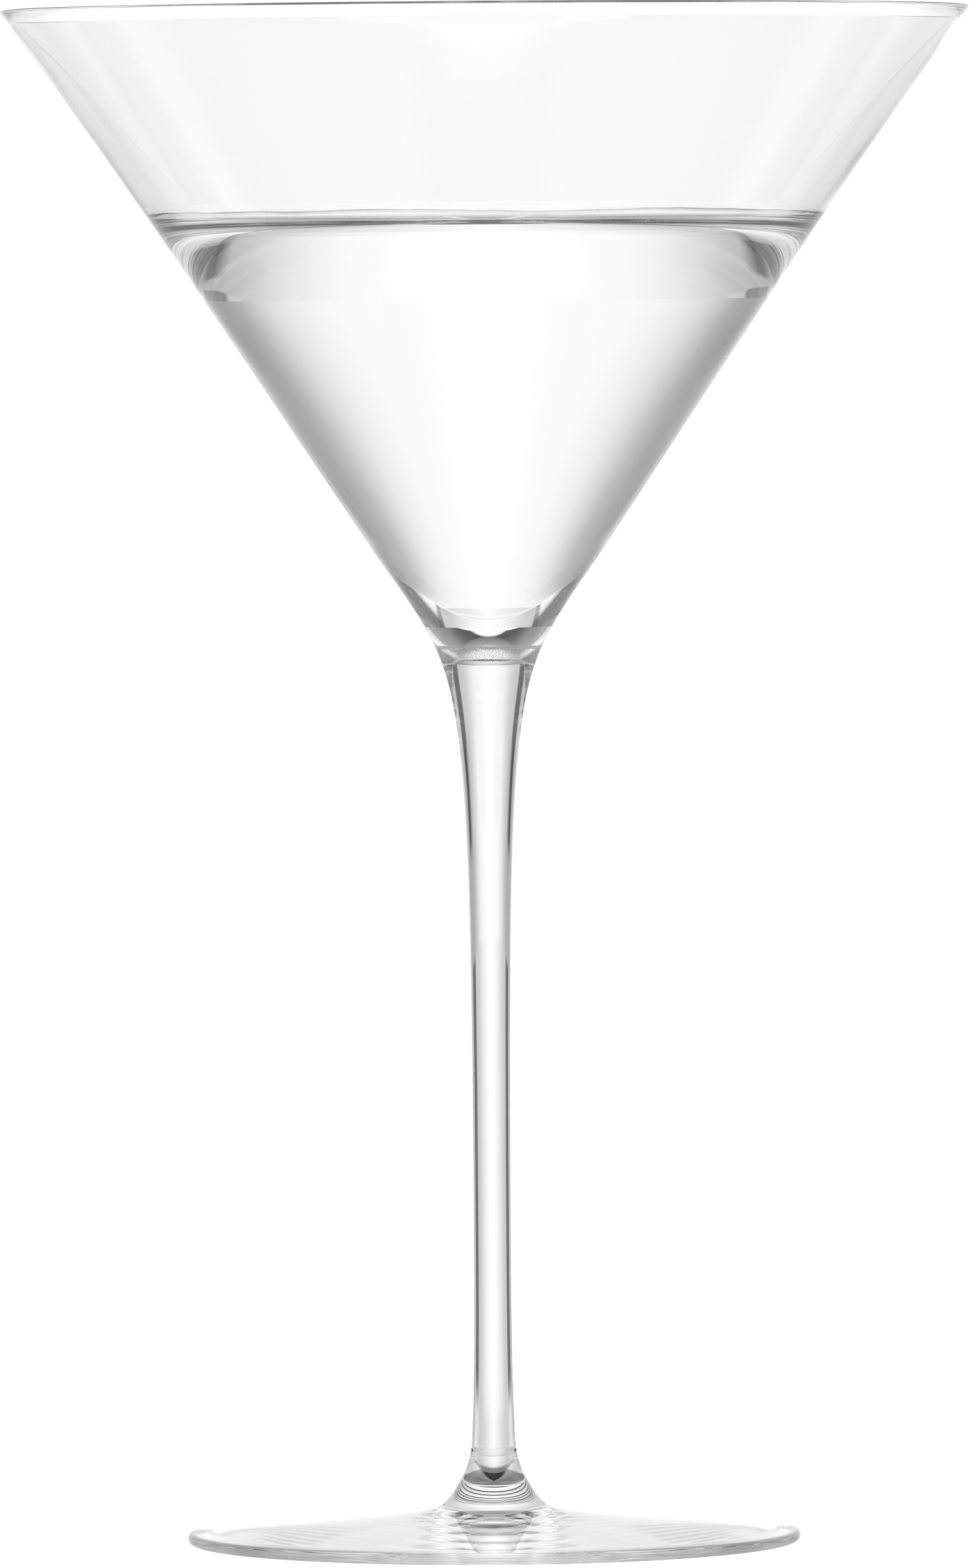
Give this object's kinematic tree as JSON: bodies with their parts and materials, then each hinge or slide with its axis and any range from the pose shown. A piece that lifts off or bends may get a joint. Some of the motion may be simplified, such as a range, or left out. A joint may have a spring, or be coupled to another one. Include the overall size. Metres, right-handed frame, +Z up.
{
  "type": "martini glass",
  "caption": "Clear stemmed martini glass: wide conical bowl, slender drawn stem and round foot, holding a clear drink.",
  "frame": {"origin": "centre of the foot's underside, on the table", "axes": "+Z up along the glass's axis, from the foot to the rim; X and Y are level and interchangeable"},
  "size_m": [0.1186, 0.1184, 0.188],
  "materials": {
    "bowl_glass": "polished",
    "stem_glass": "polished",
    "foot_glass": "polished",
    "drink": "gloss"
  },
  "bodies": {
    "root": {"bowl": "bowl_glass", "stem": "stem_glass", "foot": "foot_glass", "drink": "drink"}
  },
  "joints": []
}
